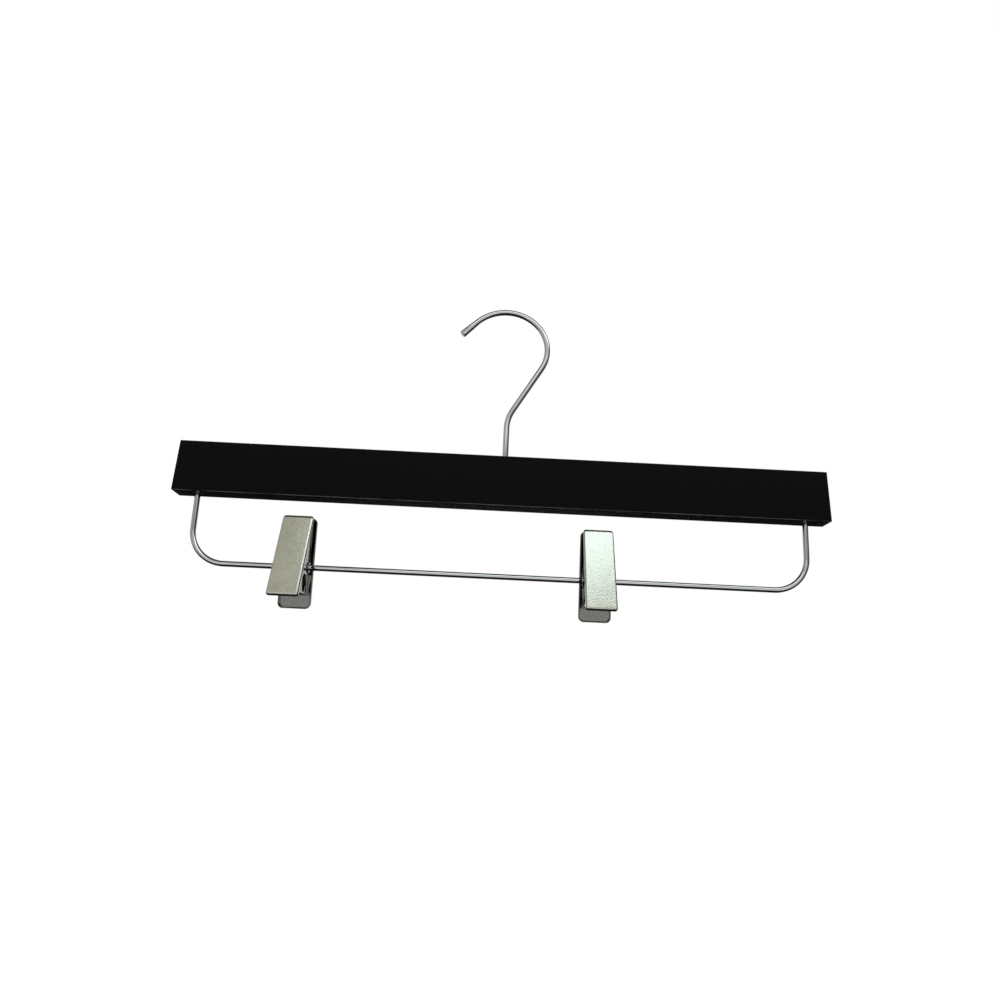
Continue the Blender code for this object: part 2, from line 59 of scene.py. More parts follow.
# Wooden bar, its drilled holes and the rounding that the lacquer leaves on its edges
BAR_LENGTH = 380.0 * MM
BAR_HEIGHT = 30.56 * MM
BAR_THICKNESS = 12.0 * MM
BAR_TOP = -98.254 * MM
BAR_BOTTOM = BAR_TOP - BAR_HEIGHT
BAR_EDGE_ROUND = 0.5 * MM
HOOK_HOLE = (3.9 * MM, 18.0 * MM)
BAIL_HOLE = (1.9 * MM, 12.3 * MM)
HOLE_MOUTH_ROUND = 0.25 * MM
BAR_GRID_MARGIN = 20 * MM
BAR_GRID_EDGE = 0.3 * MM

# Hook wire, its collar and its bush
HOOK_WIRE = 3.5 * MM
HOOK_BEND_RADIUS = 26.06 * MM
HOOK_BEND_CENTRE = (-2.57 * MM, BAR_TOP + 74.08 * MM)
HOOK_NECK_LEAN = math.radians(30.0)
HOOK_KNEE_RADIUS = 24.0 * MM
HOOK_TAIL_ANGLE = math.radians(136.0)
HOOK_TAIL_LENGTH = 12.9 * MM
HOOK_TIP_RADIUS = 2.2 * MM
BUSH_TOP = BAR_TOP - 0.5 * MM
BUSH_END = BUSH_TOP - 12.0 * MM
BUSH_BORE = 2.05 * MM
BUSH_RADIUS = 3.6 * MM
COLLAR_TOP = BUSH_END - 0.3 * MM
COLLAR_END = COLLAR_TOP - 2.4 * MM
COLLAR_RADIUS = 2.9 * MM
COLLAR_BORE = HOOK_WIRE / 2 + 0.3 * MM
STEM_END = COLLAR_END - 0.8 * MM

# Bail wire
BAIL_WIRE = 3.2 * MM
BAIL_SPAN = 353.4 * MM
BAIL_DROP = 40.3 * MM
BAIL_LEVEL = BAR_BOTTOM - BAIL_DROP
BAIL_STRAIGHT = 1.5 * MM
BAIL_LEAN = math.radians(2.8)
BAIL_BEND_RADIUS = 20.3 * MM
BAIL_GRIP_DEPTH = 12.0 * MM
WIRE_END_ROUND = 0.35 * MM
TURNED_EDGE = 0.25 * MM
COLLAR_EDGE = 0.2 * MM

# Clips. Each half has a front and a rear value: how far it leans and faces, how far its cover
# stands from the pivot, the cover's width and its heights below and above the pivot, its corner
# radius, its bend and the roll of its top edge, and its rim at the bottom and at the top.
CLIP_PLACES = {"left": -115.4 * MM, "right": 54.6 * MM}
LEANS = {"front": math.radians(14.7), "rear": math.radians(10.0)}
FACINGS = {"front": -1, "rear": 1}
COVER_DISTANCES = {"front": 13.5 * MM, "rear": 6.74 * MM}
COVER_SIZES = {
    "front": (17.2 * MM, 22.8 * MM, 26.2 * MM),
    "rear": (18.5 * MM, 23.1 * MM, 28.4 * MM),
}
COVER_CORNERS = {"front": 1.4 * MM, "rear": 3.0 * MM}
COVER_BENDS = {"front": (1.1 * MM, 1.9 * MM), "rear": (0.84 * MM, 0.84 * MM)}
COVER_RIMS = {"front": (2.4 * MM, 1.5 * MM), "rear": (3.2 * MM, 1.2 * MM)}
COVER_SHEET = 0.8 * MM
LEVER_EDGE = 0.12 * MM
GRIP_PLANE = 0.4 * MM
PLATE_CROWN = 0.05 * MM
PLATE_CELL = 0.7 * MM
SHEARED_EDGE = 0.35 * MM
PAD_SIZE = (12.3 * MM, 1.0 * MM, 3.8 * MM)
PAD_HEIGHTS = {"front": -12.1 * MM, "rear": -11.7 * MM}
PAD_GAP = 0.3 * MM
PAD_ROUND = 0.2 * MM
PAD_RIB = 0.12 * MM
PAD_RIB_COUNT = 5
TUBE_BORE = 1.9 * MM
TUBE_RADIUS = 2.3 * MM
TUBE_FLARE = 2.95 * MM
TUBE_FLARE_FACE = 7.8 * MM
TUBE_END = 8.2 * MM
TUBE_EDGE = 0.15 * MM
SPRING_WIRE = 0.9 * MM
SPRING_END_ROUND = 0.1 * MM
SPRING_PITCH = 1.36 * MM
SPRING_RADIUS = 3.05 * MM
SPRING_SEAT = 1.55 * MM
SPRING_LEGS = {"rear": (5.64 * MM, 14.0 * MM), "front": (12.4 * MM, 15.0 * MM)}
# Whole turns taken off the front leg's own angle, which leaves about 5.5 turns of wire
SPRING_LAPS = 6

# Light of the room by the sine of a direction's elevation, as (sine, level, warmth). The lowest
# and the highest come first.
LIGHT_AHEAD = (
    (-0.62, 0.03, 0),
    (0.88, 0.05, 0),
    (-0.46, 0.7, 0),
    (0.02, 0.78, 0),
    (0.12, 0.3, 0),
    (0.26, 0.3, 0),
    (0.37, 0.8, 0.05),
    (0.54, 0.42, 0.16),
    (0.74, 0.42, 0.16),
    (0.83, 0.02, 0),
)
LIGHT_ASTERN = (
    (-0.4, 0.05, 0),
    (0.9, 0.06, 0),
    (-0.15, 0.25, 0),
    (0.05, 0.52, 0),
    (0.45, 0.52, 0),
    (0.65, 0.12, 0),
)
LEFT_WALL = "#a6a6a2"
RIGHT_WALL = "#4b4b4b"
WHITE = "#ffffff"

# Floor: its level, its half width, its reach from front to back and its two colours
FLOOR_LEVEL = -0.62
FLOOR_SIDE = 3.0
FLOOR_REACH = (-0.6, 4.0)
FLOOR_CLOTH = "#3f3f3f"
FLOOR_PAPER = "#e7e7e7"

# The lamp: azimuth and elevation in degrees, distance, width and height, and radiance
KEY_SOFTBOX = (27, 48, 1.6, (1.9, 0.5), 1.35)
KEY_COLOUR = "#e1f7ff"

# The photograph's camera: lens and sensor in millimetres, place and turn in degrees
CAMERA_LENS = 24.79
CAMERA_SENSOR = 36.0
CAMERA_PLACE = (-6.82 * MM, -383.12 * MM, -245.55 * MM)
CAMERA_TURN = (107.6627, -2.4669, -1.5067)


def quads(table, around=False, along=False):
    """Four-cornered faces between the neighbours in a table of point numbers."""
    if around:
        table = np.hstack([table, table[:, :1]])
    if along:
        table = np.vstack([table, table[:1]])
    corners = (table[:-1, :-1], table[:-1, 1:], table[1:, 1:], table[1:, :-1])
    return np.stack(corners, axis=-1).reshape(-1, 4)


def numbered(rows, columns, first=0):
    """A table that numbers the points of a grid row by row."""
    return first + np.arange(rows * columns).reshape(rows, columns)


def surface_mesh(name, points, faces, sharp=38.0):
    """A closed mesh whose faces point outwards, smooth except across sharp edges."""
    mesh = bpy.data.meshes.new(name)
    mesh.from_pydata(np.asarray(points).reshape(-1, 3).tolist(), [], [list(f) for f in faces])
    work = bmesh.new()
    work.from_mesh(mesh)
    bmesh.ops.remove_doubles(work, verts=work.verts, dist=SAME_POINT)
    bmesh.ops.dissolve_degenerate(work, edges=work.edges, dist=SAME_POINT)
    if work.calc_volume(signed=True) < 0:
        bmesh.ops.reverse_faces(work, faces=work.faces)
    work.to_mesh(mesh)
    work.free()
    mesh.shade_smooth()
    mesh.set_sharp_from_angle(angle=math.radians(sharp))
    return mesh


def dress(name, mesh, material, body, node):
    """Put a mesh in the scene as the piece that stands for a CAD node and moves with its body."""
    piece = bpy.data.objects.new(name, mesh)
    bpy.context.scene.collection.objects.link(piece)
    mesh.materials.clear()
    mesh.materials.append(material)
    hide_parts(node)
    if body:
        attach(piece, body)
    return piece


def rounded(corners, radius, count=6, closed=True):
    """An outline whose corners are arcs: each arc turns from one side's direction to the next.

    The arc's centre lies on the corner's bisector, radius / sin(half the corner) from it.
    """
    corners = np.asarray(corners, float)
    middle = corners if closed else corners[1:-1]
    before = (np.roll(corners, 1, axis=0) if closed else corners[:-2]) - middle
    after = (np.roll(corners, -1, axis=0) if closed else corners[2:]) - middle
    before /= np.linalg.norm(before, axis=1, keepdims=True)
    after /= np.linalg.norm(after, axis=1, keepdims=True)
    half = np.arccos(np.clip((before * after).sum(1), -1, 1))[:, None] / 2
    bisector = before + after
    bisector /= np.linalg.norm(bisector, axis=1, keepdims=True)
    radius = np.broadcast_to(radius, len(middle))[:, None]
    centre = bisector * radius / np.sin(half)
    first = before * radius / np.tan(half) - centre
    last = after * radius / np.tan(half) - centre
    turn = np.pi - 2 * half
    share = np.linspace(0, 1, count)[None, :]
    start, finish = np.sin((1 - share) * turn), np.sin(share * turn)
    arcs = start[:, :, None] * first[:, None] + finish[:, :, None] * last[:, None]
    arcs = arcs / np.sin(turn)[:, :, None] + (middle + centre)[:, None]
    outline = arcs.reshape(-1, corners.shape[1])
    return outline if closed else np.vstack([corners[:1], outline, corners[-1:]])


def wire_mesh(name, path, radius, reference, rounding, sides=32, tip=None):
    """A round wire: rings of radius (cos a, sin a) square to the path, closed at both ends.

    The reference direction is made square to the path and gives a = 0. The first and last
    rings shrink on a quarter circle, and the last stretch can widen to a tip radius. The UV
    map holds the way along and round the wire.
    """
    path = np.asarray(path, float)
    steps = np.diff(path, axis=0)
    steps /= np.linalg.norm(steps, axis=1, keepdims=True)
    turn = np.linspace(np.pi / 2, 0, 5)
    offset = (rounding * (1 - np.sin(turn)))[:, None]
    shrunk = rounding * np.cos(turn) - rounding
    start = path[0] + offset * steps[0]
    finish = path[-1] - offset[::-1] * steps[-1]
    centres = np.vstack([start, path[1:-1], finish])
    ends = np.ones((5, 1))
    tangents = np.vstack([ends * steps[0], steps[:-1] + steps[1:], ends * steps[-1]])
    tangents /= np.linalg.norm(tangents, axis=1, keepdims=True)
    full = np.full(len(path) - 2, radius)
    radii = np.concatenate([shrunk + radius, full, shrunk[::-1] + (tip or radius)])
    side = reference - (tangents @ reference)[:, None] * tangents
    side /= np.linalg.norm(side, axis=1, keepdims=True)
    up = np.cross(tangents, side)
    angle = np.linspace(0, 2 * np.pi, sides, endpoint=False)[None, :, None]
    ring = np.cos(angle) * side[:, None] + np.sin(angle) * up[:, None]
    points = centres[:, None] + radii[:, None, None] * ring
    table = numbered(len(centres), sides)
    caps = [table[0][::-1], table[-1]]
    mesh = surface_mesh(name, points, [*quads(table, around=True), *caps])
    way = np.concatenate([[0], np.cumsum(np.linalg.norm(np.diff(centres, axis=0), axis=1))])
    corners = quads(numbered(len(centres), sides + 1)).reshape(-1)
    round_step = 2 * np.pi * radius / sides
    unrolled = np.stack([way[corners // (sides + 1)], corners % (sides + 1) * round_step])
    layer = mesh.uv_layers.new(name="wire_way")
    flat = np.zeros((len(mesh.loops), 2))
    flat[: len(corners)] = unrolled.T
    layer.data.foreach_set("uv", flat.ravel())
    return mesh


def turned_mesh(name, outline, origin, axis, sides=64):
    """A turned piece: a closed outline of (radius, height) swept round an axis.

    Point = origin + height * axis + radius * (cos a, sin a) square to the axis.
    """
    axis = np.asarray(axis, float)
    side = np.roll(axis, 1)
    up = np.cross(axis, side)
    angle = np.linspace(0, 2 * np.pi, sides, endpoint=False)[None, :, None]
    ring = np.cos(angle) * side + np.sin(angle) * up
    radii, heights = np.asarray(outline).T[:, :, None, None]
    points = np.asarray(origin) + heights * axis + radii * ring
    return surface_mesh(name, points, quads(numbered(len(outline), sides), True, True))


def edge_lines(half, flat_lines):
    """Grid lines across one side of a rounded block, spaced evenly round its two edges."""
    turned = half - BAR_EDGE_ROUND * (1 - np.tan(np.linspace(0, np.pi / 4, 4)))
    return np.unique(np.round(np.concatenate([-turned, flat_lines, turned]), 9))


def drilled_patch(centre, side, hole, cell, count):
    """A square of a flat side with a blind hole, as rings from the square in to the floor.

    Ring m runs from the square (cos a, sin a) * cell / max(|cos a|, |sin a|) to the hole's
    circle, turns into the wall on a quarter circle and goes down to the floor.
    """
    radius, depth = hole
    angle = -np.pi / 4 + np.linspace(0, 2 * np.pi, 4 * count, endpoint=False)
    circle = np.stack([np.cos(angle), np.sin(angle)], axis=-1)
    square = circle / np.abs(circle).max(axis=1, keepdims=True) * cell
    share = np.linspace(0, 1, 5)[:, None, None]
    flat = square * (1 - share) + circle * (radius + HOLE_MOUTH_ROUND) * share
    turn = np.linspace(0, np.pi / 2, 5)[1:]
    radii = np.append(radius + HOLE_MOUTH_ROUND * (1 - np.sin(turn)), [radius, radius])
    depths = np.append(HOLE_MOUTH_ROUND * (1 - np.cos(turn)), [depth / 2, depth])
    rings = np.concatenate([flat, circle * radii[:, None, None]])
    down = np.concatenate([np.zeros(5), depths])[:, None]
    heights = np.broadcast_to(centre[2] - side * down, rings.shape[:2])
    points = np.concatenate([rings + centre[:2], heights[:, :, None]], axis=-1)
    return points.reshape(-1, 3), numbered(len(rings), 4 * count)


def bar_mesh():
    """The wooden bar: six gridded sides whose edges are rounded, and three drilled patches.

    A point p of the block's side goes to c + r * (p - c) / |p - c|, where c is p held within
    the block less its edge rounding r.
    """
    half = np.array([BAR_LENGTH, BAR_THICKNESS, BAR_HEIGHT]) / 2
    cell = half[1] - BAR_EDGE_ROUND
    count = 12
    fan = cell * np.tan(np.linspace(-np.pi / 4, np.pi / 4, count + 1))
    holes = [(0.0, 1, HOOK_HOLE), (-BAIL_SPAN / 2, -1, BAIL_HOLE), (BAIL_SPAN / 2, -1, BAIL_HOLE)]
    between = np.linspace(BAR_GRID_MARGIN, BAIL_SPAN / 2 - BAR_GRID_MARGIN, 10)
    along = np.concatenate([fan + place for place, _, _ in holes] + [-between, between])
    tall = np.linspace(-1, 1, 9) * (half[2] - BAR_EDGE_ROUND - BAR_GRID_EDGE)
    lines = [edge_lines(half[0], along), edge_lines(half[1], fan), edge_lines(half[2], tall)]
    points, faces, total = [], [], 0
    for axis in range(3):
        first, second = [other for other in range(3) if other != axis]
        for side in (-1, 1):
            grid = np.zeros((len(lines[first]), len(lines[second]), 3))
            grid[..., first] = lines[first][:, None]
            grid[..., second] = lines[second][None, :]
            grid[..., axis] = side * half[axis]
            held = np.clip(grid, BAR_EDGE_ROUND - half, half - BAR_EDGE_ROUND)
            out = grid - held
            sheet = held + BAR_EDGE_ROUND * out / np.linalg.norm(out, axis=-1, keepdims=True)
            table = numbered(*grid.shape[:2], total)
            cells = quads(table if side * (-1) ** axis > 0 else table[::-1])
            middles = grid.reshape(-1, 3)[cells - total].mean(axis=1)
            for place, hole_side, _ in holes:
                if axis == 2 and side == hole_side:
                    inside = np.abs(middles[:, :2] - (place, 0)).max(axis=1) < cell
                    cells, middles = cells[~inside], middles[~inside]
            points.append(sheet.reshape(-1, 3))
            faces += cells.tolist()
            total += sheet.size // 3
    for place, side, hole in holes:
        patch, table = drilled_patch((place, 0, side * half[2]), side, hole, cell, count)
        rows = (table if side > 0 else table[:, ::-1]) + total
        faces += quads(rows, around=True).tolist() + [rows[-1].tolist()]
        points.append(patch)
        total += len(patch)
    middle = (0, 0, (BAR_TOP + BAR_BOTTOM) / 2)
    return surface_mesh("lacquered_bar", np.concatenate(points) + middle, faces)


def hook_path():
    """The hook's middle line: stem, knee, leaning neck, round bend and straight tail."""
    angle = np.linspace(-HOOK_NECK_LEAN, HOOK_TAIL_ANGLE, 72)
    circle = np.stack([np.cos(angle), np.sin(angle)], axis=-1)
    bend = HOOK_BEND_CENTRE + HOOK_BEND_RADIUS * circle
    knee = (0.0, bend[0, 1] - bend[0, 0] / math.tan(HOOK_NECK_LEAN))
    lower = rounded([(0.0, STEM_END), knee, bend[0]], HOOK_KNEE_RADIUS, 14, closed=False)
    tail = bend[-1] + HOOK_TAIL_LENGTH * np.array([-circle[-1, 1], circle[-1, 0]])
    flat = np.vstack([lower[:-1], bend, tail])
    return np.insert(flat, 1, 0.0, axis=1)


def bail_path():
    """The bail's middle line: straight out of the bar, leaning in, round, along and up again."""
    half, top = BAIL_SPAN / 2, BAR_BOTTOM + BAIL_GRIP_DEPTH
    foot = half - (BAIL_DROP - BAIL_STRAIGHT) * math.tan(BAIL_LEAN)
    left = np.array([(-half, top), (-half, BAR_BOTTOM - BAIL_STRAIGHT), (-foot, BAIL_LEVEL)])
    corners = np.vstack([left, left[::-1] * (-1, 1)])
    return np.insert(rounded(corners, BAIL_BEND_RADIUS, 28, closed=False), 1, 0.0, axis=1)


def lathe_box(inner, outer, low, high):
    """The outline of a ring of rectangular section, as (radius, height) corners."""
    return [(outer, high), (outer, low), (inner, low), (inner, high)]


def in_clip(points, place, part):
    """Move points from a clip half's own frame to its place: lean about X, then face about Z."""
    lean, facing = LEANS[part], FACINGS[part]
    x, y, z = np.moveaxis(points, -1, 0)
    outward = y * math.cos(lean) - z * math.sin(lean)
    upward = y * math.sin(lean) + z * math.cos(lean)
    return np.stack([facing * x + place, facing * outward, upward + BAIL_LEVEL], axis=-1)


def tray_skin(part, sheet):
    """One skin of a pressed tray, as a grid that is bent down at its four sides.

    A grid point k lines out from the flat middle lies reach(k) from the corner's centre, at
    an angle that runs evenly from one side to the other, and depth(k) below the plate. Reach
    and depth follow a quarter circle, and then the rim down to its own height at that place.
    Heights within the bend at the top are stretched to the length of the roll there.
    """
    width, low, high = COVER_SIZES[part]
    corner = COVER_CORNERS[part]
    bend, roll = COVER_BENDS[part]
    inner_bend = bend - sheet
    turn = np.linspace(0, np.pi / 2, 7)
    plate = np.linspace(0, corner - bend, 1 + max(1, round((corner - bend) / PLATE_CELL)))
    reach = np.concatenate([plate[:-1], corner - bend + inner_bend * np.sin(turn)])
    depth = np.concatenate([np.full(len(plate) - 1, sheet), bend - inner_bend * np.cos(turn)])
    rim_steps = np.linspace(0, 1, 4)[1:]
    reach = np.concatenate([reach, np.full(3, reach[-1])])
    depth = np.concatenate([depth, np.full(3, bend)])
    rim_share = np.concatenate([np.zeros(len(reach) - 3), rim_steps])
    rings = len(reach) - 1
    half_x = width / 2 - corner
    half_z = (low + high) / 2 - corner
    across = np.linspace(-1, 1, 13) * half_x
    upward = np.linspace(-1, 1, 25) * half_z
    out_x = np.concatenate([np.arange(-rings, 0), np.zeros(13), np.arange(1, rings + 1)])
    out_z = np.concatenate([np.arange(-rings, 0), np.zeros(25), np.arange(1, rings + 1)])
    base_x = np.concatenate([np.full(rings, -half_x), across, np.full(rings, half_x)])
    base_z = np.concatenate([np.full(rings, -half_z), upward, np.full(rings, half_z)])
    out_x, out_z = np.meshgrid(out_x, out_z, indexing="ij")
    base_x, base_z = np.meshgrid(base_x, base_z, indexing="ij")
    far_x, far_z = np.abs(out_x), np.abs(out_z)
    ring = np.maximum(far_x, far_z).astype(int)
    step = np.where(far_x >= far_z, far_z, 2 * ring - far_x)
    angle = np.pi / 2 * step / np.maximum(2 * ring, 1)
    x = base_x + np.sign(out_x) * reach[ring] * np.cos(angle)
    z = base_z + np.sign(out_z) * reach[ring] * np.sin(angle)
    rim_low, rim_high = COVER_RIMS[part]
    rim = rim_low + (rim_high - rim_low) * (z + half_z + corner) / (low + high)
    down = depth[ring] + rim_share[ring] * (rim - SHEARED_EDGE - bend)
    bulge = (1 - (x / (width / 2)) ** 2) * (1 - (z / ((low + high) / 2)) ** 2)
    y = COVER_DISTANCES[part] - down + PLATE_CROWN * np.clip(bulge, 0, 1)
    top = (low + high) / 2
    marks = (-top, top - 2 * roll, top - bend, top)
    z = np.interp(z, marks, (*marks[:2], top - roll, top))
    return np.stack([x, y, z + (high - low) / 2], axis=-1)


def tray_mesh(name, place, part):
    """A pressed cover: an outer and an inner skin, joined round the rim by a rounded edge."""
    outer = tray_skin(part, 0.0)
    inner = tray_skin(part, COVER_SHEET)
    rows, columns = outer.shape[:2]
    table = numbered(rows, columns)
    loop = np.concatenate([table[0, :-1], table[:-1, -1], table[-1, :0:-1], table[:0:-1, 0]])
    outside, inside = outer.reshape(-1, 3)[loop], inner.reshape(-1, 3)[loop]
    turn = np.linspace(0, np.pi, 7)[1:-1, None, None]
    middle, half = (outside + inside) / 2, (outside - inside) / 2
    edge = middle + half * np.cos(turn) - np.array([0, SHEARED_EDGE, 0]) * np.sin(turn)
    points = np.concatenate([outer.reshape(-1, 3), inner.reshape(-1, 3), edge.reshape(-1, 3)])
    edge_table = numbered(5, len(loop), 2 * table.size)
    strip = np.vstack([loop, edge_table, loop + table.size])
    faces = [*quads(table), *quads(table[:, ::-1] + table.size), *quads(strip, around=True)]
    return surface_mesh(name, in_clip(points, place, part), faces)


def lever_mesh(name, node):
    """A pressed lever: the CAD node's own solid, merged into whole faces for its edge rounding."""
    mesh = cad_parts[node].data.copy()
    mesh.name = name
    work = bmesh.new()
    work.from_mesh(mesh)
    bmesh.ops.remove_doubles(work, verts=work.verts, dist=SAME_LEVER_POINT)
    bmesh.ops.dissolve_limit(
        work, angle_limit=math.radians(0.6), verts=work.verts, edges=work.edges
    )
    work.to_mesh(mesh)
    work.free()
    mesh.shade_smooth()
    mesh.set_sharp_from_angle(angle=math.radians(30))
    return mesh


def round_sheared_edges(piece, width):
    """Break the sheared edges of a piece of sheet."""
    bevel = piece.modifiers.new("sheared_edge", "BEVEL")
    bevel.width = width
    bevel.segments = 2
    bevel.limit_method = "ANGLE"
    bevel.angle_limit = math.radians(50)
    bevel.use_clamp_overlap = True


def pad_mesh(name, place, height, grip_face, facing):
    """A ribbed rubber pad: its section's grip side waves in and out, and its ends are rounded.

    The section is a rounded rectangle. Its grip side lies at
    -rib * (1 - cos(2 pi z / pitch)) / 2.
    """
    width, thickness, tall = PAD_SIZE
    pitch = tall / PAD_RIB_COUNT
    wave = np.linspace(-tall / 2 + PAD_ROUND, tall / 2 - PAD_ROUND, 41)
    grip = -PAD_RIB * (1 - np.cos(2 * np.pi * (wave + tall / 2) / pitch)) / 2
    back = -thickness
    corners = [(0, tall / 2), (back, tall / 2), (back, -tall / 2), (0, -tall / 2)]
    outline = rounded(corners, PAD_ROUND, 5)
    section = np.vstack([np.stack([grip, wave], axis=-1), outline])
    turn = np.linspace(0, np.pi / 2, 4)
    narrowed = PAD_ROUND * (1 - np.sin(turn))
    shrink = np.concatenate([narrowed, [0], narrowed[::-1]])
    ends = -width / 2 + PAD_ROUND * (1 - np.cos(turn))
    stations = np.concatenate([ends, [0], -ends[::-1]])
    middle = np.array([back / 2, 0])
    scale = 1 - shrink[:, None, None] / np.array([thickness / 2, tall / 2])
    rings = middle + (section - middle) * scale
    x = np.broadcast_to(stations[:, None] + place, rings.shape[:2])
    y = facing * -rings[..., 0] + grip_face
    points = np.stack([x, y, rings[..., 1] + height + BAIL_LEVEL], axis=-1)
    table = numbered(*rings.shape[:2])
    faces = [*quads(table, around=True), table[0][::-1], table[-1]]
    return surface_mesh(name, points, faces)


def spring_path(place):
    """The spring's middle line: the rear leg, a helix round the pivot tube and the front leg.

    Each leg leaves the turns along the tangent from its own end: the angle of the leg's end
    plus or minus arccos(radius / distance).
    """
    ends = {}
    for part, (outward, upward) in SPRING_LEGS.items():
        lean = LEANS[part]
        outward -= SPRING_SEAT
        across = FACINGS[part] * (outward * math.cos(lean) - upward * math.sin(lean))
        ends[part] = np.array([across, outward * math.sin(lean) + upward * math.cos(lean)])
    reach = {part: math.acos(SPRING_RADIUS / np.linalg.norm(end)) for part, end in ends.items()}
    start = math.atan2(ends["rear"][1], ends["rear"][0]) - reach["rear"]
    finish = math.atan2(ends["front"][1], ends["front"][0]) + reach["front"]
    finish -= SPRING_LAPS * 2 * math.pi
    turns = (start - finish) / (2 * math.pi)
    angle = np.linspace(start, finish, round(turns * 32))
    half = turns * SPRING_PITCH / 2
    along = np.linspace(half, -half, len(angle))
    coil = np.stack([along, SPRING_RADIUS * np.cos(angle), SPRING_RADIUS * np.sin(angle)], axis=-1)
    path = np.vstack([[half, *ends["rear"]], coil, [-half, *ends["front"]]])
    return path + (place, 0, BAIL_LEVEL), half


def linear(colour):
    """An sRGB hex colour as linear light, with full alpha."""
    parts = np.array([int(colour[i : i + 2], 16) for i in (1, 3, 5)]) / 255
    light = np.where(parts <= 0.04045, parts / 12.92, ((parts + 0.055) / 1.055) ** 2.4)
    return (*light, 1.0)


def add_node(tree, kind, inputs=(), **settings):
    """Add a node with its settings, and with sockets linked or values set on its inputs."""
    node = tree.nodes.new(kind)
    for name, value in settings.items():
        setattr(node, name, value)
    for name, value in dict(inputs).items():
        if isinstance(value, bpy.types.NodeSocket):
            tree.links.new(value, node.inputs[name])
        else:
            node.inputs[name].default_value = value
    return node


def start_material(name, **values):
    """A Principled material with its constant values, and the coordinates of its surface."""
    material = bpy.data.materials.new(name)
    material.use_nodes = True
    tree = material.node_tree
    shader = tree.nodes["Principled BSDF"]
    for socket, value in values.items():
        shader.inputs[socket.replace("_", " ")].default_value = value
    return material, tree, shader, add_node(tree, "ShaderNodeTexCoord")


def scaled(tree, source, scale):
    """Coordinates stretched by so many pattern steps a metre on each axis."""
    return add_node(tree, "ShaderNodeMapping", {"Vector": source, "Scale": scale}).outputs[0]


def two_tones(tree, factor, first, second, low=0.3, high=0.7):
    """A colour that runs from one tone to another as a pattern goes from low to high."""
    spread = {"Value": factor, "From Min": low, "From Max": high}
    share = add_node(tree, "ShaderNodeMapRange", spread).outputs[0]
    inputs = {0: share, 6: linear(first), 7: linear(second)}
    return add_node(tree, "ShaderNodeMix", inputs, data_type="RGBA").outputs[2]


def spread_value(tree, factor, low, high):
    """A number that runs from low to high with a pattern's middle range."""
    inputs = {"Value": factor, "From Min": 0.3, "From Max": 0.7, "To Min": low, "To Max": high}
    return add_node(tree, "ShaderNodeMapRange", inputs).outputs[0]


def blend_tones(tree, share, first, second):
    """A colour between two, by a share."""
    inputs = {0: share, 6: first, 7: second}
    return add_node(tree, "ShaderNodeMix", inputs, data_type="RGBA").outputs[2]


def span(tree, value, low, high):
    """A share that goes from 0 to 1 as a value goes from low to high."""
    inputs = {"Value": value, "From Min": low, "From Max": high}
    return add_node(tree, "ShaderNodeMapRange", inputs).outputs[0]


def add_bump(tree, shader, height, depth, strength=1.0, under=None):
    """Raise a pattern by a depth in metres over the surface or over another bump."""
    inputs = {"Height": height, "Distance": depth, "Strength": strength}
    if under:
        inputs["Normal"] = under
    normal = add_node(tree, "ShaderNodeBump", inputs).outputs[0]
    tree.links.new(normal, shader.inputs["Normal"])
    return normal


def lacquered_wood():
    """Beech under sprayed black lacquer: deep black, soft gloss, faint grain, painted edge
    highlights.
    """
    material, tree, shader, place = start_material(
        "black_lacquered_beech", Roughness=0.24, IOR=1.5, Specular_IOR_Level=0.1
    )
    # Beech pores are a few tenths of a millimetre across, drawn at 0.7 mm, and run 12 mm along
    grain = scaled(tree, place.outputs["Object"], (80, 1400, 1400))
    pores = add_node(tree, "ShaderNodeTexNoise", {"Vector": grain, "Scale": 1.0, "Detail": 5.0})
    # Sprayed lacquer settles in ripples about 3 mm apart
    ripple = add_node(
        tree, "ShaderNodeTexNoise", {"Vector": place.outputs["Object"], "Scale": 330.0}
    )
    tone = two_tones(tree, pores.outputs[0], "#030403", "#050605")
    # Painted highlight: the four long edges are painted light grey over about 0.4 mm, in stretches
    # of some 20 mm
    _, y, z = add_node(tree, "ShaderNodeSeparateXYZ", {0: place.outputs["Object"]}).outputs
    side = add_node(tree, "ShaderNodeMath", {0: y}, operation="ABSOLUTE").outputs[0]
    level = {0: z, 1: -(BAR_TOP + BAR_BOTTOM) / 2}
    level = add_node(tree, "ShaderNodeMath", level, operation="ADD").outputs[0]
    level = add_node(tree, "ShaderNodeMath", {0: level}, operation="ABSOLUTE").outputs[0]
    near_side = span(tree, side, BAR_THICKNESS / 2 - 0.4 * MM, BAR_THICKNESS / 2 - 0.1 * MM)
    near_level = span(tree, level, BAR_HEIGHT / 2 - 0.4 * MM, BAR_HEIGHT / 2 - 0.1 * MM)
    edge = {0: near_side, 1: near_level}
    edge = add_node(tree, "ShaderNodeMath", edge, operation="MULTIPLY").outputs[0]
    stretch = scaled(tree, place.outputs["Object"], (50, 4, 4))
    highlight_stretches = add_node(tree, "ShaderNodeTexNoise", {"Vector": stretch, "Scale": 1.0, "Detail": 6.0})
    highlight_stretches = span(tree, highlight_stretches.outputs[0], 0.3, 0.6)
    edge = add_node(tree, "ShaderNodeMath", {0: edge, 1: highlight_stretches}, operation="MULTIPLY").outputs[0]
    tone = blend_tones(tree, edge, tone, linear("#b4b5b2"))
    tree.links.new(tone, shader.inputs["Base Color"])
    tree.links.new(spread_value(tree, pores.outputs[0], 0.2, 0.3), shader.inputs["Roughness"])
    ripples = add_bump(tree, shader, ripple.outputs[0], 0.02 * MM, 0.35)
    add_bump(tree, shader, pores.outputs[0], 0.01 * MM, 0.25, ripples)
    return material


